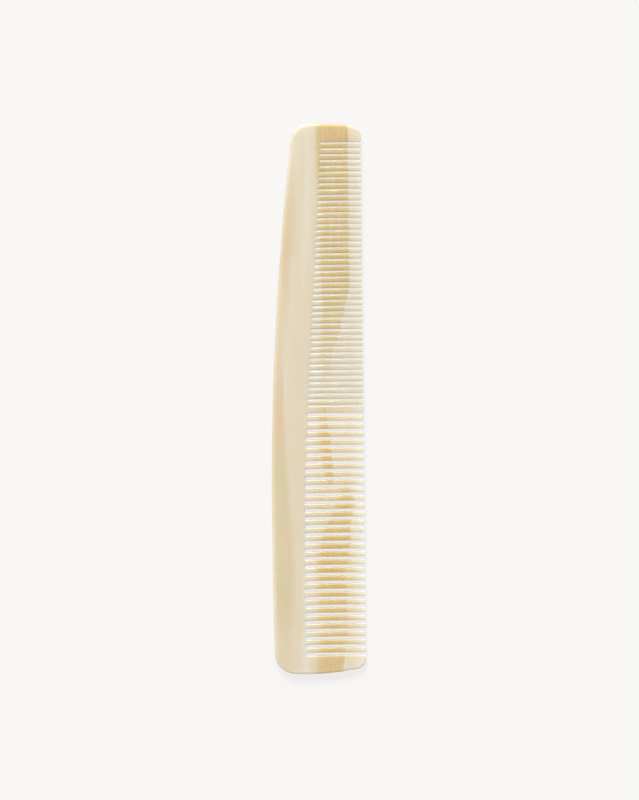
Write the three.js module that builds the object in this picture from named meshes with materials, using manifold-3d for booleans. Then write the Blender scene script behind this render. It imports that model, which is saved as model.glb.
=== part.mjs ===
// A dressing comb of polished horn-coloured acetate: one flat plate with a curved back, fine teeth
// along one half and coarse teeth along the other, and a solid guard at each end.
// The comb is a single piece of material. It is divided here into its regions, which meet face to face:
// the back in two lengths, a guard at each end, and the teeth in short blocks.
// Millimetres. The comb lies flat: +Z is up through its thickness, the fine end is at +Y, the teeth point
// to +X, and the origin is under the middle of its outline.
import * as THREE from 'three';
import { mergeVertices } from 'three/addons/utils/BufferGeometryUtils.js';
import Module from 'manifold-3d';

const wasm = await Module();
wasm.setup();

// Overall size
const LENGTH = 190;
const WIDTH = 32; // at the widest point of the back
const THICKNESS = 4;
const EDGE_ROUND = 0.75; // radius of the polished outer edge

// Outline. The tip line is straight and the back is two arcs that meet at the widest point.
const TIP_X = WIDTH / 2;
const FINE_END = LENGTH / 2;
const COARSE_END = -LENGTH / 2;
const WIDEST_Y = COARSE_END + 55;
const BACK_FINE_RADIUS = 1070;
const BACK_COARSE_RADIUS = 2200;
const END_RADIUS = 98; // each end is slightly crowned
const FINE_CREST_X = TIP_X - 15.5;
const COARSE_CREST_X = TIP_X - 20.8;
const FINE_TIP_CORNER = 3.6;
const FINE_BACK_CORNER = 6.2;
const COARSE_TIP_CORNER = 3.6;
const COARSE_BACK_CORNER = 7.5;

// Section, measured back from the tip line: the plate thins slightly along the teeth, then is
// bevelled from both faces down to the tips.
const BEVEL_LENGTH = 6.4;
const TAPER_LENGTH = 14;
const BEVEL_THICKNESS = 3.5; // where the bevel starts
const TIP_THICKNESS = 1.6;
const BEVEL_SLOPE = (BEVEL_THICKNESS - TIP_THICKNESS) / 2 / BEVEL_LENGTH;

// Teeth. Gaps are counted from the fine end, and the tooth between the two kinds is a coarse one.
const FINE_GAPS = 46;
const FINE_PITCH = 2.014;
const FINE_GAP_WIDTH = 0.4;
const FIRST_GAP_Y = FINE_END - 6.65;
const COARSE_GAPS = 31;
const COARSE_PITCH = 2.757;
const COARSE_GAP_WIDTH = 0.95;
const CHANGE_PITCH = 3.06; // from the last fine gap to the first coarse one
const MOUTH_CHAMFER = 0.3;

// Tooth length: level over the coarse end, an easing bend, then a straight slope to the fine end.
const LONGEST_TOOTH = 20.85;
const BEND_START_Y = COARSE_END + 43;
const BEND_END_Y = COARSE_END + 90;
const ROOT_SLOPE = 0.0597;

// Division into regions
const FINE_BLOCKS = 5;
const COARSE_BLOCKS = 4;
const ROOT_STRIP = 1.2; // material behind the gap roots that holds a block's teeth together
const SPARE = 5; // how far cutters run past the plate

const ARC_STEPS = 5;
const ROOT_STEPS = 4;
const EDGE_STEPS = 2;

const COLOURS = { back: 0xe4d8c0, guard: 0xdcc69a, fine: 0xd9c08f, coarse: 0xe2d2b4 };

function acetate(colour) {
  return new THREE.MeshStandardMaterial({ color: colour, roughness: 0.28, metalness: 0 });
}

function solidOf(geometry) {
  geometry.deleteAttribute('normal');
  geometry.deleteAttribute('uv');
  const merged = mergeVertices(geometry, 1e-4);
  const mesh = new wasm.Mesh({
    numProp: 3,
    vertProperties: new Float32Array(merged.attributes.position.array),
    triVerts: new Uint32Array(merged.index.array),
  });
  mesh.merge();
  return new wasm.Manifold(mesh);
}

function geometryOf(solid) {
  const mesh = solid.getMesh();
  const geometry = new THREE.BufferGeometry();
  geometry.setAttribute('position', new THREE.BufferAttribute(mesh.vertProperties, 3));
  geometry.setIndex(new THREE.BufferAttribute(mesh.triVerts, 1));
  return geometry;
}

function prism(shape, bottom, top) {
  const geometry = new THREE.ExtrudeGeometry(shape, {
    depth: top - bottom,
    bevelEnabled: false,
    curveSegments: ROOT_STEPS,
  });
  geometry.translate(0, 0, bottom);
  return solidOf(geometry);
}

// Centre of the corner circle that touches two large circles from inside, at the end nearer nearY.
function cornerCentre(first, second, radius, nearY) {
  const dx = second.x - first.x;
  const dy = second.y - first.y;
  const apart = Math.hypot(dx, dy);
  const reachFirst = first.radius - radius;
  const reachSecond = second.radius - radius;
  const along = (reachFirst ** 2 - reachSecond ** 2 + apart ** 2) / (2 * apart);
  const across = Math.sqrt(reachFirst ** 2 - along ** 2);
  const choices = [1, -1].map((side) => ({
    x: first.x + (along * dx - side * across * dy) / apart,
    y: first.y + (along * dy + side * across * dx) / apart,
    radius,
  }));
  choices.sort((a, b) => Math.hypot(a.x, a.y - nearY) - Math.hypot(b.x, b.y - nearY));
  return choices[0];
}

// Centre of the corner circle between the straight tip line and an end's arc.
function tipCornerCentre(end, radius, nearY) {
  const x = TIP_X - radius;
  const rise = Math.sqrt((end.radius - radius) ** 2 - (x - end.x) ** 2);
  return { x, y: end.y + Math.sign(nearY) * rise, radius };
}

function turn(from, to) {
  const angle = Math.atan2(to.y - from.y, to.x - from.x);
  return angle < 0 ? angle + 2 * Math.PI : angle;
}

function outline() {
  const fineEnd = { x: FINE_CREST_X, y: FINE_END - END_RADIUS, radius: END_RADIUS };
  const coarseEnd = { x: COARSE_CREST_X, y: COARSE_END + END_RADIUS, radius: END_RADIUS };
  const backFine = { x: BACK_FINE_RADIUS - TIP_X, y: WIDEST_Y, radius: BACK_FINE_RADIUS };
  const backCoarse = { x: BACK_COARSE_RADIUS - TIP_X, y: WIDEST_Y, radius: BACK_COARSE_RADIUS };
  const fineTip = tipCornerCentre(fineEnd, FINE_TIP_CORNER, FINE_END);
  const coarseTip = tipCornerCentre(coarseEnd, COARSE_TIP_CORNER, COARSE_END);
  const fineBack = cornerCentre(fineEnd, backFine, FINE_BACK_CORNER, FINE_END);
  const coarseBack = cornerCentre(coarseEnd, backCoarse, COARSE_BACK_CORNER, COARSE_END);
  const corners = [
    [coarseTip, turn(coarseEnd, coarseTip), 2 * Math.PI],
    [fineTip, 0, turn(fineEnd, fineTip)],
    [fineEnd, turn(fineEnd, fineTip), turn(fineEnd, fineBack)],
    [fineBack, turn(fineEnd, fineBack), turn(backFine, fineBack)],
    [backFine, turn(backFine, fineBack), Math.PI],
    [backCoarse, Math.PI, turn(backCoarse, coarseBack)],
    [coarseBack, turn(backCoarse, coarseBack), turn(coarseEnd, coarseBack)],
    [coarseEnd, turn(coarseEnd, coarseBack), turn(coarseEnd, coarseTip)],
  ];
  const shape = new THREE.Shape();
  for (const [circle, from, to] of corners) {
    shape.absarc(circle.x, circle.y, circle.radius, from, to, false);
  }
  return shape;
}

function plate() {
  const geometry = new THREE.ExtrudeGeometry(outline(), {
    depth: THICKNESS - 2 * EDGE_ROUND,
    bevelEnabled: true,
    bevelThickness: EDGE_ROUND,
    bevelSize: EDGE_ROUND,
    bevelOffset: -EDGE_ROUND,
    bevelSegments: EDGE_STEPS,
    curveSegments: ARC_STEPS,
  });
  geometry.translate(0, 0, EDGE_ROUND);
  return solidOf(geometry).intersect(section());
}

// The tapering section across the teeth, drawn as x and z and run along the whole length. Behind the
// taper it stands clear of the plate's faces.
function section() {
  const middle = THICKNESS / 2;
  const upper = [
    [-TIP_X - SPARE, middle + SPARE],
    [TIP_X - TAPER_LENGTH, middle + SPARE],
    [TIP_X - TAPER_LENGTH, middle + THICKNESS / 2],
    [TIP_X - BEVEL_LENGTH, middle + BEVEL_THICKNESS / 2],
    [TIP_X + SPARE, middle + TIP_THICKNESS / 2 - SPARE * BEVEL_SLOPE],
  ];
  const lower = upper.map(([x, z]) => [x, 2 * middle - z]).reverse();
  const shape = new THREE.Shape([...upper, ...lower].map(([x, z]) => new THREE.Vector2(x, z)));
  const geometry = new THREE.ExtrudeGeometry(shape, { depth: LENGTH + 2 * SPARE, bevelEnabled: false });
  geometry.rotateX(Math.PI / 2);
  geometry.translate(0, FINE_END + SPARE, 0);
  return solidOf(geometry);
}

function toothLength(y) {
  if (y <= BEND_START_Y) return LONGEST_TOOTH;
  const bend = BEND_END_Y - BEND_START_Y;
  const past = y - BEND_START_Y;
  if (past < bend) return LONGEST_TOOTH - (ROOT_SLOPE * past ** 2) / (2 * bend);
  return LONGEST_TOOTH - ROOT_SLOPE * (past - bend / 2);
}

function allGaps() {
  const gaps = [];
  for (let i = 0; i < FINE_GAPS; i += 1) {
    gaps.push({ y: FIRST_GAP_Y - i * FINE_PITCH, width: FINE_GAP_WIDTH });
  }
  const firstCoarseY = gaps[FINE_GAPS - 1].y - CHANGE_PITCH;
  for (let i = 0; i < COARSE_GAPS; i += 1) {
    gaps.push({ y: firstCoarseY - i * COARSE_PITCH, width: COARSE_GAP_WIDTH });
  }
  return gaps;
}

// A saw slot with a half-round root and a small chamfer on each side of its mouth.
function slot(gap) {
  const half = gap.width / 2;
  const rootX = TIP_X - toothLength(gap.y) + half;
  const chamferX = TIP_X - MOUTH_CHAMFER;
  const wide = half + MOUTH_CHAMFER + SPARE;
  const shape = new THREE.Shape();
  shape.absarc(rootX, gap.y, half, Math.PI / 2, (3 * Math.PI) / 2, false);
  shape.lineTo(chamferX, gap.y - half);
  shape.lineTo(TIP_X + SPARE, gap.y - wide);
  shape.lineTo(TIP_X + SPARE, gap.y + wide);
  shape.lineTo(chamferX, gap.y + half);
  return prism(shape, -SPARE, THICKNESS + SPARE);
}

// The area on the tooth side of the root strip, between two heights along the comb.
function toothSide(fromY, toY) {
  const shape = new THREE.Shape();
  shape.moveTo(TIP_X + SPARE, fromY);
  shape.lineTo(TIP_X + SPARE, toY);
  const bends = [BEND_END_Y, WIDEST_Y, BEND_START_Y].filter((y) => y > fromY && y < toY);
  for (const y of [toY, ...bends, fromY]) {
    shape.lineTo(TIP_X - toothLength(y) - ROOT_STRIP, y);
  }
  return prism(shape, -SPARE, THICKNESS + SPARE);
}

function band(fromY, toY) {
  const shape = new THREE.Shape();
  shape.moveTo(-TIP_X - SPARE, fromY);
  shape.lineTo(TIP_X + SPARE, fromY);
  shape.lineTo(TIP_X + SPARE, toY);
  shape.lineTo(-TIP_X - SPARE, toY);
  return prism(shape, -SPARE, THICKNESS + SPARE);
}

const comb = new THREE.Group();

function addRegion(name, solid, colour) {
  const mesh = new THREE.Mesh(geometryOf(solid), acetate(colour));
  mesh.name = name;
  comb.add(mesh);
}

// A run of teeth between two gaps, as blocks of as near the same number of teeth as can be.
function addTeeth(name, blocks, firstGap, lastGap, gaps, blank, colour) {
  const edges = Array.from({ length: blocks + 1 }, (_, i) => (
    Math.round(firstGap + ((lastGap - firstGap) * i) / blocks)
  ));
  for (let i = 0; i < blocks; i += 1) {
    const blockGaps = gaps.slice(edges[i], edges[i + 1] + 1);
    let block = blank.intersect(band(gaps[edges[i + 1]].y, gaps[edges[i]].y));
    for (const gap of blockGaps) {
      block = block.subtract(slot(gap));
    }
    addRegion(`${name}_${i + 1}`, block, colour);
  }
}

const gaps = allGaps();
const firstGap = gaps[0];
const lastGap = gaps[gaps.length - 1];
const whole = plate();
const teethBlank = whole.intersect(toothSide(COARSE_END - SPARE, FINE_END + SPARE));
const back = whole.subtract(toothSide(COARSE_END - SPARE, FINE_END + SPARE));

addRegion('spine_fine_half', back.intersect(band(WIDEST_Y, FINE_END + SPARE)), COLOURS.back);
addRegion('spine_coarse_half', back.intersect(band(COARSE_END - SPARE, WIDEST_Y)), COLOURS.back);
const fineGuard = teethBlank.intersect(band(firstGap.y, FINE_END + SPARE)).subtract(slot(firstGap));
addRegion('fine_end_guard', fineGuard, COLOURS.guard);
const coarseGuard = teethBlank.intersect(band(COARSE_END - SPARE, lastGap.y)).subtract(slot(lastGap));
addRegion('coarse_end_guard', coarseGuard, COLOURS.guard);
addTeeth('fine_teeth', FINE_BLOCKS, 0, FINE_GAPS - 1, gaps, teethBlank, COLOURS.fine);
addTeeth('coarse_teeth', COARSE_BLOCKS, FINE_GAPS - 1, gaps.length - 1, gaps, teethBlank, COLOURS.coarse);

export default comb;
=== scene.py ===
import math

import bpy
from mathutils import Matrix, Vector


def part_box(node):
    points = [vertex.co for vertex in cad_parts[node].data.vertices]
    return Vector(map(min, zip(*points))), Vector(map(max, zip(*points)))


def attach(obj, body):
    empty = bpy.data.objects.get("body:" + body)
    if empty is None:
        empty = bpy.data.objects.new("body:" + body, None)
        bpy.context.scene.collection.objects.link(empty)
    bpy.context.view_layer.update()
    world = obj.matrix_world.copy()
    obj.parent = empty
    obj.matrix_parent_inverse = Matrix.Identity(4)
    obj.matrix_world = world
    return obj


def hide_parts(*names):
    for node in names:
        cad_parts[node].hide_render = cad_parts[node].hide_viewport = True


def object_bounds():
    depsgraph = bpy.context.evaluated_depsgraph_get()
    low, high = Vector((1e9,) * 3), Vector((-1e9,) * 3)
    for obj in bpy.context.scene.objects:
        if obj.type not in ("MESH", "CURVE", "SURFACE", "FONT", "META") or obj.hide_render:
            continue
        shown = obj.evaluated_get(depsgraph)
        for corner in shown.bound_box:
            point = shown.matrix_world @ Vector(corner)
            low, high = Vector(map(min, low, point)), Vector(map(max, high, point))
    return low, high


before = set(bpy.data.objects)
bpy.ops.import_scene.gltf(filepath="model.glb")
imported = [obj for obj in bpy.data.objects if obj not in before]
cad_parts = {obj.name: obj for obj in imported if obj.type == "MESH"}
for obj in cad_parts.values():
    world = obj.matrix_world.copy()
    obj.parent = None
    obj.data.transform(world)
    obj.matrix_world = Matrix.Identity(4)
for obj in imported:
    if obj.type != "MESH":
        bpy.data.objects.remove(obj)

cad_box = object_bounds()
CAD_LOW, CAD_HIGH = cad_box

# ---------------------------------------------------------------- sizes, in metres
MM = 0.001
TIP_X = CAD_HIGH.x
WIDEST_X = CAD_LOW.x
FINE_END = CAD_HIGH.y
COARSE_END = CAD_LOW.y
HALF_THICKNESS = (CAD_HIGH.z - CAD_LOW.z) / 2
MIDDLE_Z = (CAD_HIGH.z + CAD_LOW.z) / 2

# Outline, as the frame has it: a straight tip line, a back of two arcs, and crowned ends
WIDEST_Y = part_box("spine_coarse_half")[1].y
BACK_FINE_RADIUS = 1070 * MM
BACK_COARSE_RADIUS = 2200 * MM
END_RADIUS = 98 * MM
FINE_CREST_X = TIP_X - 15.5 * MM
COARSE_CREST_X = TIP_X - 20.8 * MM
FINE_TIP_CORNER = 3.6 * MM
FINE_BACK_CORNER = 6.2 * MM
COARSE_TIP_CORNER = 3.6 * MM
COARSE_BACK_CORNER = 7.5 * MM

# Section, by distance back from the tip line
BEVEL_LENGTH = 6.4 * MM
TAPER_LENGTH = 14 * MM
HALF_AT_BEVEL = 1.75 * MM
HALF_AT_TIP = 0.8 * MM
BEVEL_BLEND = 0.05 * MM  # how far the polished crease lies under the sharp one, times four
TAPER_BLEND = 0.03 * MM

# Teeth: the first gap, the last gap and the place where the pitch changes come from the frame's blocks
FINE_GAPS = 46
COARSE_GAPS = 31
FINE_GAP_WIDTH = 0.4 * MM
COARSE_GAP_WIDTH = 0.95 * MM
CHANGE_PITCH = 3.06 * MM
COARSEST_GAP_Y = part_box("coarse_teeth_4")[0].y
CHANGE_GAP_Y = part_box("fine_teeth_5")[0].y
FINEST_GAP_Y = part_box("fine_teeth_1")[1].y
LONGEST_TOOTH = 20.85 * MM
BEND_START_Y = COARSE_END + 43 * MM
BEND_LENGTH = 47 * MM
ROOT_SLOPE = 0.0597

# Polished edges
OUTER_EDGE = 0.75 * MM
EDGE_SHARE = 0.7  # of the half thickness, where the plate is too thin for the full outer edge
FINE_GAP_EDGE = 0.38 * MM
COARSE_GAP_EDGE = 0.34 * MM
TIP_EDGE = 0.3 * MM
MOUTH_CORNER = 0.4 * MM

# Mesh density
EDGE_STEPS = 5
ROOT_STEPS = 10
TOOTH_STEPS = 3
MOUTH_STEPS = 3
SPINE_STEPS = 6
GUARD_STEPS = 14
GUARD_STRAIGHT_STEPS = 3  # of those, the ones along the tip line before the corner
# Distances back from the tips of the stations along a tooth, past its root
TOOTH_STATIONS = [back * MM for back in (7.0, 6.7, 6.4, 6.1, 5.8, 4.6, 3.4, 2.2, 1.1)]
ROOT_STATIONS = 4  # stations from the root to the first of those
CREASE_COLUMNS = (ROOT_STATIONS, ROOT_STATIONS + 4)  # the bevel's soft crease lies between these


# ---------------------------------------------------------------- section and outline
def between(a, b, share):
    return a + (b - a) * share


def eased_min(a, b, blend):
    """The smaller of a and b, with the corner where they cross rounded off."""
    overlap = max(blend - abs(a - b), 0) / blend
    return min(a, b) - overlap * overlap * blend / 4


def half_height(x):
    """Half the thickness of the plate at x."""
    back = TIP_X - x
    bevel = HALF_AT_TIP + (HALF_AT_BEVEL - HALF_AT_TIP) * back / BEVEL_LENGTH
    run = TAPER_LENGTH - BEVEL_LENGTH
    taper = HALF_AT_BEVEL + (HALF_THICKNESS - HALF_AT_BEVEL) * (back - BEVEL_LENGTH) / run
    return eased_min(bevel, eased_min(taper, HALF_THICKNESS, TAPER_BLEND), BEVEL_BLEND)


def face_normal(x):
    """The upper face's normal at x."""
    step = 0.01 * MM
    slope = (half_height(x + step) - half_height(x - step)) / (2 * step)
    return Vector((-slope, 0, 1)).normalized()


def tooth_length(y):
    """From the tips to the bottom of a gap: level, then an easing bend, then a straight slope."""
    past = y - BEND_START_Y
    if past <= 0:
        return LONGEST_TOOTH
    if past < BEND_LENGTH:
        return LONGEST_TOOTH - ROOT_SLOPE * past * past / (2 * BEND_LENGTH)
    return LONGEST_TOOTH - ROOT_SLOPE * (past - BEND_LENGTH / 2)


def all_gaps():
    """(height along the comb, half width, edge radius) of each gap, from the coarse end up."""
    gaps = []
    last_coarse_y = CHANGE_GAP_Y - CHANGE_PITCH
    for i in range(COARSE_GAPS):
        share = i / (COARSE_GAPS - 1)
        y = COARSEST_GAP_Y + (last_coarse_y - COARSEST_GAP_Y) * share
        gaps.append((y, COARSE_GAP_WIDTH / 2, COARSE_GAP_EDGE))
    for i in range(FINE_GAPS):
        share = i / (FINE_GAPS - 1)
        y = CHANGE_GAP_Y + (FINEST_GAP_Y - CHANGE_GAP_Y) * share
        gaps.append((y, FINE_GAP_WIDTH / 2, FINE_GAP_EDGE))
    return gaps


def outer_edge(x):
    """Radius of the outer edge's rounding at x."""
    return min(OUTER_EDGE, EDGE_SHARE * half_height(x))


class Circle:
    """A circle that part of the outline follows."""

    def __init__(self, x, y, radius):
        self.x = x
        self.y = y
        self.radius = radius

    def angle_to(self, other):
        return math.atan2(other.y - self.y, other.x - self.x) % (2 * math.pi)


def corner_between(first, second, radius, near_y):
    """The corner circle that touches two large circles from inside, near the end at near_y."""
    dx = second.x - first.x
    dy = second.y - first.y
    apart = math.hypot(dx, dy)
    reach_first = first.radius - radius
    reach_second = second.radius - radius
    along = (reach_first ** 2 - reach_second ** 2 + apart ** 2) / (2 * apart)
    across = math.sqrt(reach_first ** 2 - along ** 2)
    choices = []
    for side in (1, -1):
        x = first.x + (along * dx - side * across * dy) / apart
        y = first.y + (along * dy + side * across * dx) / apart
        choices.append(Circle(x, y, radius))
    return min(choices, key=lambda corner: math.hypot(corner.x, corner.y - near_y))


def corner_at_tips(end, radius, near_y):
    """The corner circle between the tip line and an end's arc."""
    x = TIP_X - radius
    rise = math.sqrt((end.radius - radius) ** 2 - (x - end.x) ** 2)
    return Circle(x, end.y + math.copysign(rise, near_y), radius)


BACK_FINE = Circle(WIDEST_X + BACK_FINE_RADIUS, WIDEST_Y, BACK_FINE_RADIUS)
BACK_COARSE = Circle(WIDEST_X + BACK_COARSE_RADIUS, WIDEST_Y, BACK_COARSE_RADIUS)


class End:
    """One end of the comb. up is 1 at the fine end and -1 at the coarse one."""

    def __init__(self, up, end_y, crest_x, back, back_corner, tip_corner):
        self.up = up
        self.arc = Circle(crest_x, end_y - up * END_RADIUS, END_RADIUS)
        self.back = back
        self.back_corner = corner_between(self.arc, back, back_corner, end_y)
        self.tip_corner = corner_at_tips(self.arc, tip_corner, end_y)


FINE = End(1, FINE_END, FINE_CREST_X, BACK_FINE, FINE_BACK_CORNER, FINE_TIP_CORNER)
COARSE = End(-1, COARSE_END, COARSE_CREST_X, BACK_COARSE, COARSE_BACK_CORNER, COARSE_TIP_CORNER)


# ---------------------------------------------------------------- the skin
class Skin:
    """The comb's vertices, their exact normals and its quads, gathered before they become a mesh."""

    def __init__(self):
        self.points = []
        self.normals = []
        self.faces = []

    def add(self, point, normal):
        self.points.append(point)
        self.normals.append(normal.normalized())
        return len(self.points) - 1

    def flat(self, x, y):
        """A point of both faces, as (index above, index below)."""
        z = half_height(x)
        normal = face_normal(x)
        above = self.add(Vector((x, y, z)), normal)
        below = self.add(Vector((x, y, -z)), Vector((normal.x, 0, -normal.z)))
        return above, below

    def column(self, x, y, out, edge):
        """The rounded edge at one point of the outline, from the upper face round to the lower one.
        out points away from the material, and edge is the rounding's radius."""
        inner = Vector((x, y)) - out * edge
        height = half_height(inner.x)
        face = face_normal(inner.x)
        upper = []
        for step in range(EDGE_STEPS + 1):
            angle = math.pi / 2 * (1 - step / EDGE_STEPS)
            reach = inner + out * edge * math.cos(angle)
            z = height - edge + edge * math.sin(angle)
            normal = out.to_3d() * math.cos(angle) + face * math.sin(angle)
            upper.append((reach, z, normal))
        indices = [self.add(Vector((p.x, p.y, z)), n) for p, z, n in upper]
        for p, z, n in reversed(upper):
            indices.append(self.add(Vector((p.x, p.y, -z)), Vector((n.x, n.y, -n.z))))
        return indices

    def on_circle(self, circle, angle, edge):
        """The column at an angle on a circle of the outline."""
        out = Vector((math.cos(angle), math.sin(angle)))
        return self.column(circle.x + circle.radius * out.x, circle.y + circle.radius * out.y, out, edge)

    def place(self, index):
        """A vertex's place in plan."""
        return self.points[index].to_2d()

    def wall(self, columns):
        """Quads round the closed run of columns, which go anticlockwise seen from above."""
        for here, after in zip(columns, columns[1:] + columns[:1]):
            for k in range(len(here) - 1):
                self.faces.append((here[k], here[k + 1], after[k + 1], after[k]))

    def patch(self, grid):
        """Quads of both faces over a grid of (above, below) pairs, in rows up +Y and columns along +X."""
        for low, high in zip(grid, grid[1:]):
            for m in range(len(low) - 1):
                corners = (low[m], low[m + 1], high[m + 1], high[m])
                self.faces.append(tuple(pair[0] for pair in corners))
                self.faces.append(tuple(pair[1] for pair in reversed(corners)))


def ends_of(column):
    """A column's two innermost vertices, where it meets the faces."""
    return column[0], column[-1]


def tooth_wall(skin, gap_y, half, edge, up):
    """The columns along one wall of a gap, from its root to the tip line. up is 1 for the wall above
    the gap and -1 for the one below. The last few turn the tooth's rounded corner."""
    root_x = TIP_X - tooth_length(gap_y) + half
    first = TIP_X - TOOTH_STATIONS[0]
    run = [root_x + (first - root_x) * i / ROOT_STATIONS for i in range(ROOT_STATIONS)]
    run += [TIP_X - back for back in TOOTH_STATIONS]
    run.append(TIP_X - MOUTH_CORNER)
    wall_y = gap_y + up * half
    out = Vector((0, -up))
    columns = [skin.column(x, wall_y, out, edge) for x in run]
    corner = Circle(TIP_X - MOUTH_CORNER, wall_y + up * MOUTH_CORNER, MOUTH_CORNER)
    for i in range(1, MOUTH_STEPS + 1):
        share = i / MOUTH_STEPS
        angle = -up * math.pi / 2 * (1 - share)
        columns.append(skin.on_circle(corner, angle, between(edge, TIP_EDGE, share)))
    return columns


def gap_root(skin, gap_y, half, edge):
    """The columns round a gap's half-round bottom, upwards, without its two ends."""
    centre = Vector((TIP_X - tooth_length(gap_y) + half, gap_y))
    columns = []
    for i in range(1, ROOT_STEPS):
        angle = math.pi * (1.5 - i / ROOT_STEPS)
        away = Vector((math.cos(angle), math.sin(angle)))
        point = centre + away * half
        columns.append(skin.column(point.x, point.y, -away, edge))
    return columns


def tooth(skin, lower_wall, upper_wall):
    """One tooth's faces and tip. Returns the pairs across its base and the columns across its tip."""
    tip_columns = []
    rows = [[ends_of(column) for column in lower_wall]]
    for i in range(1, TOOTH_STEPS):
        share = i / TOOTH_STEPS
        row = []
        for low, high in zip(lower_wall[:-1], upper_wall[:-1]):
            point = between(skin.place(low[0]), skin.place(high[0]), share)
            row.append(skin.flat(point.x, point.y))
        tip_y = between(skin.place(lower_wall[-1][0]), skin.place(upper_wall[-1][0]), share).y
        tip = skin.column(TIP_X, tip_y, Vector((1, 0)), TIP_EDGE)
        tip_columns.append(tip)
        row.append(ends_of(tip))
        rows.append(row)
    rows.append([ends_of(column) for column in upper_wall])
    skin.patch(rows)
    return [row[0] for row in rows[1:-1]], tip_columns


def back_column(skin, y):
    """The column on the back whose inner edge lies at height y along the comb."""
    for end in (FINE, COARSE):
        corner = end.back_corner
        turn = end.back.angle_to(corner)
        start = corner.y + (corner.radius - OUTER_EDGE) * math.sin(turn)
        if end.up * (y - start) > 0:
            circle = corner
            break
    else:
        circle = BACK_FINE if y > WIDEST_Y else BACK_COARSE
    rise = (y - circle.y) / (circle.radius - OUTER_EDGE)
    return skin.on_circle(circle, math.pi - math.asin(rise), OUTER_EDGE)


def spine(skin, root_pairs):
    """The flat faces between the back and the line of roots. Returns the back's columns and the
    first and last rows, which the guards go on from."""
    back_columns = []
    grid = []
    for pair in root_pairs:
        root = skin.place(pair[0])
        back = back_column(skin, root.y)
        start = skin.place(back[0])
        row = [ends_of(back)]
        for k in range(1, SPINE_STEPS):
            point = between(start, root, k / SPINE_STEPS)
            row.append(skin.flat(point.x, point.y))
        row.append(pair)
        back_columns.append(back)
        grid.append(row)
    skin.patch(grid)
    return back_columns, grid[0], grid[-1]


def coons(bottom, top, left, right):
    """Points inside a four-sided patch, in rows from bottom to top, without the sides themselves."""
    rows = []
    for n in range(1, len(left) - 1):
        v = n / (len(left) - 1)
        row = []
        for m in range(1, len(bottom) - 1):
            u = m / (len(bottom) - 1)
            ruled = between(bottom[m], top[m], v) + between(left[n], right[n], u)
            low = between(bottom[0], bottom[-1], u)
            high = between(top[0], top[-1], u)
            row.append(ruled - between(low, high, v))
        rows.append(row)
    return rows


def guard(skin, end, spine_row, tooth_side):
    """The solid end beyond the last gap. Returns its columns from the tip line round to the back."""
    tip_columns = guard_tip(skin, end, tooth_side[-1])
    back_columns = guard_back(skin, end, spine_row[0])
    bottom = spine_row + [ends_of(column) for column in tooth_side[1:]]
    inner = [skin.place(pair[0]) for pair in bottom]
    first, last = (SPINE_STEPS + column for column in CREASE_COLUMNS)
    corner_x = skin.place(back_columns[-1][0]).x
    tip_x = skin.place(tip_columns[-1][0]).x
    end_columns = []
    for m in range(1, len(bottom) - 1):
        x = inner[m].x
        if m < first:
            share = (x - inner[0].x) / (inner[first].x - inner[0].x)
            x = between(corner_x, inner[first].x, share)
        if m > last:
            share = (m - last) / (len(bottom) - 1 - last)
            x = between(inner[last].x, tip_x, share)
        end_columns.append(end_column(skin, end, x))
    top_columns = [back_columns[-1]] + end_columns + [tip_columns[-1]]
    top = [ends_of(column) for column in top_columns]
    left = [spine_row[0]] + [ends_of(column) for column in back_columns]
    right = [ends_of(tooth_side[-1])] + [ends_of(column) for column in tip_columns]
    grid = fill_guard(skin, bottom, top, left, right, (0, first, last, len(bottom) - 1))
    if end.up < 0:
        grid.reverse()
    skin.patch(grid)
    return tip_columns + end_columns[::-1] + back_columns[::-1]


def guard_tip(skin, end, start):
    """Columns along a guard's tip side and round its tip corner, away from the last gap."""
    corner = end.tip_corner
    start_y = skin.place(start[0]).y
    turning = GUARD_STEPS - GUARD_STRAIGHT_STEPS
    full = outer_edge(TIP_X)
    columns = []
    for i in range(1, GUARD_STRAIGHT_STEPS + 1):
        share = i / GUARD_STRAIGHT_STEPS
        edge = between(TIP_EDGE, full, share)
        columns.append(skin.column(TIP_X, between(start_y, corner.y, share), Vector((1, 0)), edge))
    last_angle = end.arc.angle_to(corner)
    if end.up < 0:
        last_angle -= 2 * math.pi
    last_edge = outer_edge(corner.x)
    for i in range(1, turning + 1):
        share = i / turning
        columns.append(skin.on_circle(corner, last_angle * share, between(full, last_edge, share)))
    return columns


def guard_back(skin, end, start_pair):
    """Columns round a guard's back corner, from the spine's last row to the end's arc."""
    corner = end.back_corner
    start = skin.place(start_pair[0])
    first_angle = math.atan2(start.y - corner.y, start.x - corner.x) % (2 * math.pi)
    last_angle = end.arc.angle_to(corner)
    columns = []
    for i in range(1, GUARD_STEPS + 1):
        angle = between(first_angle, last_angle, i / GUARD_STEPS)
        columns.append(skin.on_circle(corner, angle, OUTER_EDGE))
    return columns


def end_column(skin, end, x):
    """The column on an end's arc whose inner edge lies at x."""
    edge = outer_edge(x)
    angle = math.acos((x - end.arc.x) / (end.arc.radius - edge))
    return skin.on_circle(end.arc, end.up * angle, edge)


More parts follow.
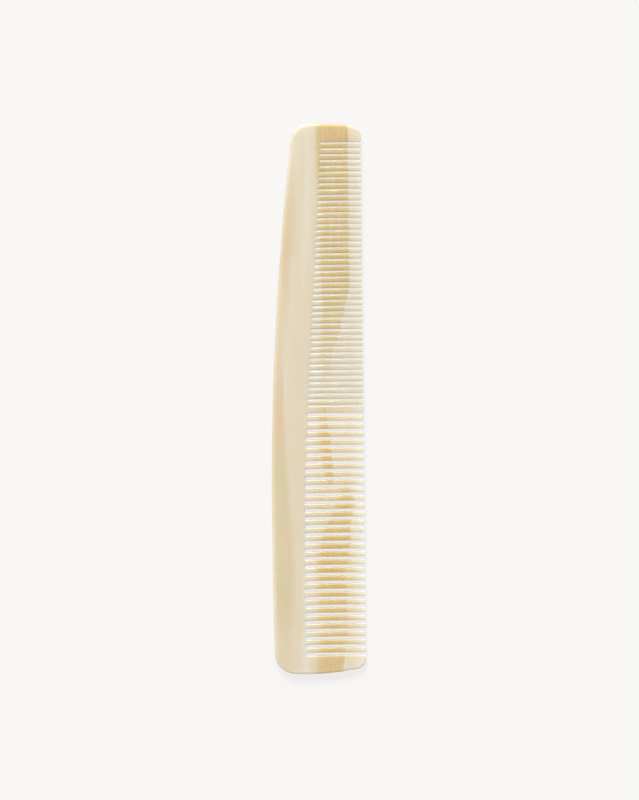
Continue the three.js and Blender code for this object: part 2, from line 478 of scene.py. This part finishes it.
def fill_guard(skin, bottom, top, left, right, stops):
    """A guard's grid of pairs, filled in patches side by side so that the bevel's crease runs straight."""
    def places(pairs):
        return [skin.place(pair[0]) for pair in pairs]

    sides = [left]
    for stop in stops[1:-1]:
        low, high = places([bottom[stop], top[stop]])
        middle = [between(low, high, n / GUARD_STEPS) for n in range(1, GUARD_STEPS)]
        sides.append([bottom[stop]] + [skin.flat(p.x, p.y) for p in middle] + [top[stop]])
    sides.append(right)
    grid = [bottom] + [[left[n]] for n in range(1, GUARD_STEPS)] + [top]
    for i, (start, stop) in enumerate(zip(stops, stops[1:])):
        low = places(bottom[start:stop + 1])
        high = places(top[start:stop + 1])
        inside = coons(low, high, places(sides[i]), places(sides[i + 1]))
        for n, row in enumerate(inside, start=1):
            grid[n] += [skin.flat(p.x, p.y) for p in row] + [sides[i + 1][n]]
    return grid


def comb_skin():
    """The whole comb, with its middle plane at z = 0."""
    skin = Skin()
    gaps = all_gaps()
    below = [tooth_wall(skin, *gap, -1) for gap in gaps]
    above = [tooth_wall(skin, *gap, 1) for gap in gaps]
    roots = [gap_root(skin, *gap) for gap in gaps]
    tooth_run = []
    root_pairs = []
    for i in range(len(gaps)):
        tooth_run += below[i][::-1] + roots[i] + above[i]
        root_pairs += [ends_of(below[i][0])] + [ends_of(column) for column in roots[i]]
        root_pairs.append(ends_of(above[i][0]))
        if i + 1 < len(gaps):
            base_pairs, tip_columns = tooth(skin, above[i], below[i + 1])
            root_pairs += base_pairs
            tooth_run += tip_columns
    back_columns, first_row, last_row = spine(skin, root_pairs)
    fine_run = guard(skin, FINE, last_row, above[-1])
    coarse_run = guard(skin, COARSE, first_row, below[0])
    skin.wall(tooth_run + fine_run + back_columns[::-1] + coarse_run[::-1])
    return skin


def add_object(name, data):
    made = bpy.data.objects.new(name, data)
    bpy.context.scene.collection.objects.link(made)
    return made


def comb_object():
    """The comb's mesh, lifted on to the floor."""
    skin = comb_skin()
    mesh = bpy.data.meshes.new("comb")
    lift = Vector((0, 0, MIDDLE_Z))
    mesh.from_pydata([point + lift for point in skin.points], [], skin.faces)
    mesh.shade_smooth()
    mesh.normals_split_custom_set_from_vertices(skin.normals)
    return add_object("comb", mesh)


# ---------------------------------------------------------------- materials
def tone(code, light=1.0):
    """The linear colour that shows as a six-digit sRGB tone on a surface that gets this much light."""
    channels = []
    for i in (0, 2, 4):
        value = int(code[i:i + 2], 16) / 255
        level = value / 12.92 if value <= 0.04045 else ((value + 0.055) / 1.055) ** 2.4
        channels.append(level / light)
    return (*channels, 1)


# The Mix node's sockets, by what it mixes
NUMBER_SOCKETS = (2, 3)
COLOUR_SOCKETS = (6, 7)
COLOUR_RESULT = 2


class Nodes:
    """Short ways of adding shader nodes to a material."""

    def __init__(self, name):
        self.material = bpy.data.materials.new(name)
        self.material.use_nodes = True
        self.tree = self.material.node_tree
        self.shader = self.tree.nodes["Principled BSDF"]

    def link(self, value, socket):
        """Feeds a socket from another one, or sets it to a plain value."""
        if isinstance(value, bpy.types.NodeSocket):
            self.tree.links.new(value, socket)
        else:
            socket.default_value = value

    def node(self, kind, **settings):
        made = self.tree.nodes.new(kind)
        for key, value in settings.items():
            setattr(made, key, value)
        return made

    def math(self, operation, a, b=0.0, c=0.0):
        made = self.node("ShaderNodeMath", operation=operation)
        for value, socket in zip((a, b, c), made.inputs):
            self.link(value, socket)
        return made.outputs[0]

    def stretched(self, vector, scale):
        made = self.node("ShaderNodeVectorMath", operation="MULTIPLY")
        self.link(vector, made.inputs[0])
        made.inputs[1].default_value = scale
        return made.outputs[0]

    def noise(self, vector, detail):
        made = self.node("ShaderNodeTexNoise")
        self.link(vector, made.inputs["Vector"])
        made.inputs["Scale"].default_value = 1
        made.inputs["Detail"].default_value = detail
        return made.outputs["Fac"]

    def ramp(self, value, low, high, to_low=0.0, to_high=1.0):
        """A smooth change from to_low to to_high while value goes from low to high."""
        made = self.node("ShaderNodeMapRange", interpolation_type="SMOOTHSTEP")
        for item, socket in zip((value, low, high, to_low, to_high), made.inputs):
            self.link(item, socket)
        return made.outputs[0]

    def mix(self, share, a, b):
        made = self.node("ShaderNodeMix", data_type="RGBA")
        self.link(share, made.inputs[0])
        for colour, socket in zip((a, b), COLOUR_SOCKETS):
            self.link(colour, made.inputs[socket])
        return made.outputs[COLOUR_RESULT]

    def course(self, value, stops):
        """Three courses of value at once, from stops of (value, first, second, third)."""
        made = self.node("ShaderNodeValToRGB")
        self.link(value, made.inputs[0])
        ramp = made.color_ramp
        ramp.interpolation = "LINEAR"
        while len(ramp.elements) < len(stops):
            ramp.elements.new(0.5)
        for element, (position, *levels) in zip(ramp.elements, stops):
            element.position = position
            element.color = (*levels, 1)
        split = self.node("ShaderNodeSeparateColor")
        self.tree.links.new(made.outputs[0], split.inputs[0])
        return split.outputs


# The ochre bands run along the comb inside the acetate. Each stop is a position along the comb from the
# coarse end as a share of its length, then the band's middle and half width in millimetres back from
# the tips, then its strength.
MAIN_BAND = [
    (0.00, 12.6, 4.3, 0.90),
    (0.07, 10.9, 4.6, 0.55),
    (0.19, 11.5, 4.9, 0.85),
    (0.24, 10.4, 5.1, 0.85),
    (0.275, 9.0, 4.2, 0.80),
    (0.30, 6.8, 3.4, 0.75),
    (0.32, 6.0, 2.7, 0.70),
    (0.34, 6.7, 1.7, 0.55),
    (0.36, 6.2, 1.0, 0.00),
    (0.51, 14.0, 1.1, 0.15),
    (0.57, 13.4, 2.0, 0.45),
    (0.61, 11.8, 2.6, 0.65),
    (0.65, 10.6, 3.7, 0.85),
    (0.69, 9.6, 4.8, 0.95),
    (0.75, 9.4, 5.2, 1.00),
    (0.81, 9.5, 5.2, 0.90),
    (1.00, 9.9, 5.4, 0.90),
]
NARROW_BAND = [
    (0.335, 11.5, 1.0, 0.00),
    (0.35, 11.7, 1.3, 0.80),
    (0.37, 12.2, 1.5, 0.95),
    (0.40, 12.9, 1.8, 1.00),
    (0.43, 13.4, 1.8, 1.00),
    (0.465, 13.9, 1.4, 0.80),
    (0.50, 14.1, 1.1, 0.10),
]
BACK_BAND = [
    (0.00, 28.2, 3.0, 0.45),
    (0.06, 28.4, 2.8, 0.50),
    (0.13, 28.2, 3.2, 0.85),
    (0.22, 28.2, 3.4, 0.70),
    (0.32, 29.0, 3.0, 0.80),
    (0.41, 29.8, 2.4, 0.85),
    (0.50, 30.2, 2.2, 0.85),
    (0.59, 29.6, 2.2, 0.65),
    (0.68, 28.0, 2.6, 0.55),
    (0.77, 26.7, 2.8, 0.90),
    (0.86, 25.6, 2.4, 0.75),
    (0.95, 24.4, 1.6, 0.10),
]
BAND_SPAN = 30  # millimetres that a full level of a band's course stands for
# Along the comb again: how warm the cream is in the teeth, then how deep the ochre is.
TOOTH_WARMTH = [
    (0.02, 0.15, 0.0),
    (0.045, 0.75, 0.9),
    (0.25, 0.75, 0.8),
    (0.35, 0.65, 0.5),
    (0.44, 0.60, 0.5),
    (0.52, 0.35, 0.1),
    (0.955, 0.35, 0.1),
    (0.975, 0.35, 0.0),
]


# The acetate's colours, as the sRGB tones that the comb's flat faces show. Where there are two, the
# colour goes from one to the other.
CREAM = ("e6dbc4", "eae4d2")
ROSE = "e8d7c1"
GREENISH = "e4d9b4"
TOOTH_CREAM = "e0ca9f"
OCHRE = ("e2c597", "d7c78f")
DEEP_OCHRE = ("d9bd7c", "d3bc73")
OCHRE_STREAK = "d1ad6a"
BACK_OCHRE = ("e1ccaa", "dccfaa")
TIPS_AND_LIGHT_THROUGH = ("ebe6d6", "e8dec9")  # in the coarse teeth, then in the fine ones; partly the acetate's paler tone, partly painted light shining through the thin tips

# The acetate's grain: how often each noise varies per millimetre across, along and through the comb
BROAD_STREAKS = (0.16, 0.012, 0.12)
STREAKS = (0.45, 0.03, 0.3)
CLOUDS = (0.30, 0.11, 0.35)
FLECKS = (0.22, 0.42, 0.3)
FINE_STREAKS = (2.0, 0.06, 1.2)

# Noise levels that a colour fades in between. Four numbers add how much of it shows at each level.
PAIR_FADE = (0.38, 0.62)
ROSE_FADE = (0.48, 0.72, 0, 0.55)
GREENISH_FADE = (0.5, 0.75, 0, 0.35)
OCHRE_STREAK_FADE = (0.35, 0.75, 0, 0.6)
BACK_OCHRE_FADE = (0.4, 0.6)

# Distances across the comb, in millimetres, but TIPS_CHANGE in shares of the comb's length
TOOTH_CREAM_END = (15, 20, 1, 0)  # two distances from the tips, then how much of it is left at each
TIPS_END = (0.5, 6.0, 0.85, 0.0)  # the same for the pale tips, whose paleness is partly painted light shining through the thin bevel
TIPS_CHANGE = (0.25, 0.55)  # where along the comb they go over from one tone to the other
FLECK_WANDER = 0.7  # how far flecks and streaks push the borders of the bands, either way
STREAK_WANDER = 0.8
MAIN_FEATHER = (0.4, 1.4)  # softness of a band's border towards the tips, then towards the back
NARROW_FEATHER = (0.4, 0.9)
BACK_FEATHER = (1.6, 1.2)

# The acetate as a solid
ACETATE_IOR = 1.49
ROUGHNESS_COURSE = (0.2, 0.8, 0.1, 0.15)  # two levels of the streaks, then the roughness at each
SCATTER_DEPTH = 5.0 * MM
SCATTER_BY_COLOUR = (1.0, 0.9, 0.75)
POLISH_WAVE_HEIGHT = 0.004 * MM
POLISH_WAVE_STRENGTH = 0.2


def band_share(nodes, along, back, stops, feather):
    """How much of a band's colour shows: its strength in the middle, feathered off at the side towards
    the tips and at the side towards the back, each by its own width in millimetres."""
    tip_feather, back_feather = feather
    levels = [(at, middle / BAND_SPAN, half / BAND_SPAN, strength) for at, middle, half, strength in stops]
    middle, half, strength = nodes.course(along, levels)[:3]
    off = nodes.math("SUBTRACT", nodes.math("DIVIDE", back, BAND_SPAN), middle)
    from_tips = nodes.math("MULTIPLY", nodes.math("ADD", half, off), BAND_SPAN)
    from_back = nodes.math("MULTIPLY", nodes.math("SUBTRACT", half, off), BAND_SPAN)
    tip_side = nodes.ramp(from_tips, -tip_feather, tip_feather)
    back_side = nodes.ramp(from_back, -back_feather, back_feather)
    return nodes.math("MULTIPLY", nodes.math("MULTIPLY", tip_side, back_side), strength)


def shown(code):
    """An acetate colour, by the sRGB tone that the comb's flat faces show."""
    return tone(code, ACETATE_LIGHT)


class Acetate:
    """The acetate's colours, worked out from the place in the comb and the grain."""

    def __init__(self, nodes):
        coordinates = nodes.node("ShaderNodeTexCoord").outputs["Object"]
        place = nodes.stretched(coordinates, (1 / MM, 1 / MM, 1 / MM))
        self.nodes = nodes
        self.broad = nodes.noise(nodes.stretched(place, BROAD_STREAKS), detail=1)
        self.streaks = nodes.noise(nodes.stretched(place, STREAKS), detail=2)
        self.clouds = nodes.noise(nodes.stretched(place, CLOUDS), detail=2)
        self.flecks = nodes.noise(nodes.stretched(place, FLECKS), detail=1)
        self.fine = nodes.noise(nodes.stretched(place, FINE_STREAKS), detail=3)

        split = nodes.node("ShaderNodeSeparateXYZ")
        nodes.link(place, split.inputs[0])
        self.back = nodes.math("SUBTRACT", TIP_X / MM, split.outputs[0])
        from_coarse_end = nodes.math("SUBTRACT", split.outputs[1], COARSE_END / MM)
        self.along = nodes.math("DIVIDE", from_coarse_end, (FINE_END - COARSE_END) / MM)
        self.wandering_back = nodes.math("ADD", self.back, self.wander())

    def wander(self):
        """Millimetres by which the bands' borders stray, so that they aren't straight."""
        by_flecks = self.nodes.math("MULTIPLY_ADD", self.flecks, 2 * FLECK_WANDER, -FLECK_WANDER)
        by_streaks = self.nodes.math("MULTIPLY_ADD", self.streaks, 2 * STREAK_WANDER, -STREAK_WANDER)
        return self.nodes.math("ADD", by_flecks, by_streaks)

    def pair(self, value, tones, fade=PAIR_FADE):
        """A colour that goes from the first tone to the second as value rises through the fade."""
        return self.nodes.mix(self.nodes.ramp(value, *fade), *map(shown, tones))

    def cream(self, warmth):
        """The ground colour, streaked with rose and green, and warmer in the teeth."""
        nodes = self.nodes
        colour = self.pair(self.broad, CREAM)
        colour = nodes.mix(nodes.ramp(self.streaks, *ROSE_FADE), colour, shown(ROSE))
        colour = nodes.mix(nodes.ramp(self.clouds, *GREENISH_FADE), colour, shown(GREENISH))
        in_teeth = nodes.ramp(self.back, *TOOTH_CREAM_END)
        return nodes.mix(nodes.math("MULTIPLY", in_teeth, warmth), colour, shown(TOOTH_CREAM))

    def ochre(self, depth):
        """The bands' colour, deeper by the share given, with fine darker streaks."""
        nodes = self.nodes
        colour = nodes.mix(depth, self.pair(self.flecks, OCHRE), self.pair(self.flecks, DEEP_OCHRE))
        return nodes.mix(nodes.ramp(self.fine, *OCHRE_STREAK_FADE), colour, shown(OCHRE_STREAK))

    def band(self, stops, feather):
        return band_share(self.nodes, self.along, self.wandering_back, stops, feather)

    def colour(self):
        """Cream, then the bands in the teeth, the band along the back, and the pale tips, partly painted
        light shining through them.
        """
        nodes = self.nodes
        warmth, depth = nodes.course(self.along, [(*stop, 0) for stop in TOOTH_WARMTH])[:2]
        main = self.band(MAIN_BAND, MAIN_FEATHER)
        narrow = self.band(NARROW_BAND, NARROW_FEATHER)
        colour = nodes.mix(nodes.math("MAXIMUM", main, narrow), self.cream(warmth), self.ochre(depth))
        back_ochre = self.pair(self.clouds, BACK_OCHRE, BACK_OCHRE_FADE)
        colour = nodes.mix(self.band(BACK_BAND, BACK_FEATHER), colour, back_ochre)
        # The pale tips: partly the acetate's own clearer tone, partly painted light shining through the
        # thin tips.
        tips = self.pair(self.along, TIPS_AND_LIGHT_THROUGH, TIPS_CHANGE)
        return nodes.mix(nodes.ramp(self.back, *TIPS_END), colour, tips)


def horn_acetate():
    """Polished cast acetate in horn colours: soft cream and rose streaks along the comb, ochre bands in
    the teeth and along the back, and paler tips: partly clearer acetate, partly painted light shining
    through the thin tips."""
    nodes = Nodes("horn_acetate")
    acetate = Acetate(nodes)
    nodes.link(acetate.colour(), nodes.shader.inputs["Base Color"])
    nodes.link(nodes.ramp(acetate.streaks, *ROUGHNESS_COURSE), nodes.shader.inputs["Roughness"])
    nodes.shader.inputs["IOR"].default_value = ACETATE_IOR
    nodes.shader.inputs["Subsurface Weight"].default_value = 1.0
    nodes.shader.inputs["Subsurface Radius"].default_value = SCATTER_BY_COLOUR
    nodes.shader.inputs["Subsurface Scale"].default_value = SCATTER_DEPTH

    bump = nodes.node("ShaderNodeBump")
    bump.inputs["Strength"].default_value = POLISH_WAVE_STRENGTH
    bump.inputs["Distance"].default_value = POLISH_WAVE_HEIGHT
    nodes.link(acetate.fine, bump.inputs["Height"])
    nodes.link(bump.outputs[0], nodes.shader.inputs["Normal"])
    return nodes.material


FLOOR_TONES = ("5a5a59", "585857")
FLOOR_GLOW_COLOUR = (1, 0.985, 0.975, 1)
FLOOR_SPECKLES = (40, 40, 40)  # per metre
FLOOR_ROUGHNESS = 0.9


def pale_floor():
    """A matt floor that looks pale because it glows, like a light table. Most of its light is its own,
    so it stays bright in the narrow gaps between the teeth, where little light falls."""
    nodes = Nodes("pale_floor")
    coordinates = nodes.node("ShaderNodeTexCoord").outputs["Object"]
    speckle = nodes.noise(nodes.stretched(coordinates, FLOOR_SPECKLES), detail=2)
    nodes.link(nodes.mix(speckle, *map(tone, FLOOR_TONES)), nodes.shader.inputs["Base Color"])
    nodes.shader.inputs["Emission Color"].default_value = FLOOR_GLOW_COLOUR
    nodes.shader.inputs["Emission Strength"].default_value = FLOOR_GLOW
    nodes.shader.inputs["Roughness"].default_value = FLOOR_ROUGHNESS
    nodes.shader.inputs["Specular IOR Level"].default_value = 0.0
    return nodes.material


# ---------------------------------------------------------------- stage, light and camera
TOP_LIGHT = 1.5  # light on the upper faces, as the radiance of a white surface there
LIGHT_RETURNED = 0.905  # the acetate loses the rest inside
ACETATE_LIGHT = LIGHT_RETURNED * TOP_LIGHT
SKY_SHARE = 0.35  # of TOP_LIGHT, from the room all round; the key light gives the rest
SKY_COLOUR = (1, 0.99, 0.98, 1)
FLOOR_GLOW = 0.796  # the floor's own light, and the room's where the camera looks past the floor
FLOOR_SIZE = 12.0
KEY_DISTANCE = 8.0
KEY_SIZE = 3.7
KEY_ELEVATION = math.radians(47)
# From +X towards +Y, so the light stands beyond the fine end and a little to the back's side
KEY_AZIMUTH = math.radians(101)

CAMERA_HEIGHT = 2.0  # above the comb's middle plane: far enough to see straight down every gap
CAMERA_ASIDE_X = 0.8 * MM  # from straight above the comb's middle
CAMERA_ASIDE_Y = -0.4 * MM
CAMERA_ROLL = math.radians(-0.6)
PICTURE_HEIGHT = 276.3 * MM  # what the picture takes in, at the comb
SENSOR = 36.0  # millimetres, as Blender has it


def floor():
    """A level square at z = 0, which the comb lies on."""
    half = FLOOR_SIZE / 2
    corners = [(-half, -half, 0), (half, -half, 0), (half, half, 0), (-half, half, 0)]
    mesh = bpy.data.meshes.new("floor")
    mesh.from_pydata(corners, [], [(0, 1, 2, 3)])
    mesh.materials.append(pale_floor())
    made = add_object("floor", mesh)


def key_light():
    """A wide soft disk. Its power gives level faces their share of TOP_LIGHT at this distance and slant."""
    light = bpy.data.lights.new("key", "AREA")
    light.shape = "DISK"
    light.size = KEY_SIZE
    level_light = TOP_LIGHT * (1 - SKY_SHARE)
    light.energy = level_light * (math.pi * KEY_DISTANCE) ** 2 / math.sin(KEY_ELEVATION)
    made = add_object("key", light)
    outwards = Vector((math.cos(KEY_AZIMUTH), math.sin(KEY_AZIMUTH), 0)) * math.cos(KEY_ELEVATION)
    direction = outwards + Vector((0, 0, math.sin(KEY_ELEVATION)))
    made.location = direction * KEY_DISTANCE
    made.rotation_euler = direction.to_track_quat("Z", "Y").to_euler()


def room_light():
    """An even soft light from all round. Where a view looks past the floor's edge, the room is as pale
    as the floor."""
    world = bpy.data.worlds.new("room")
    world.use_nodes = True
    tree = world.node_tree
    background = tree.nodes["Background"]
    looked_at = tree.nodes.new("ShaderNodeLightPath").outputs["Is Camera Ray"]
    strength = tree.nodes.new("ShaderNodeMix")
    tree.links.new(looked_at, strength.inputs[0])
    for level, socket in zip((TOP_LIGHT * SKY_SHARE, FLOOR_GLOW), NUMBER_SOCKETS):
        strength.inputs[socket].default_value = level
    tree.links.new(strength.outputs[0], background.inputs["Strength"])
    background.inputs["Color"].default_value = SKY_COLOUR
    bpy.context.scene.world = world


def camera():
    """A camera that looks straight down. Its lens takes in PICTURE_HEIGHT at the comb's middle plane."""
    data = bpy.data.cameras.new("camera")
    data.sensor_fit = "VERTICAL"
    data.sensor_height = SENSOR
    data.lens = SENSOR * CAMERA_HEIGHT / PICTURE_HEIGHT
    made = add_object("camera", data)
    middle = (CAD_LOW + CAD_HIGH) / 2
    made.location = (middle.x + CAMERA_ASIDE_X, middle.y + CAMERA_ASIDE_Y, MIDDLE_Z + CAMERA_HEIGHT)
    made.rotation_euler = (0, 0, CAMERA_ROLL)
    bpy.context.scene.camera = made


bpy.context.scene.view_settings.view_transform = "Standard"
camera()
floor()
key_light()
room_light()

comb = comb_object()
comb.data.materials.append(horn_acetate())
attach(comb, "root")
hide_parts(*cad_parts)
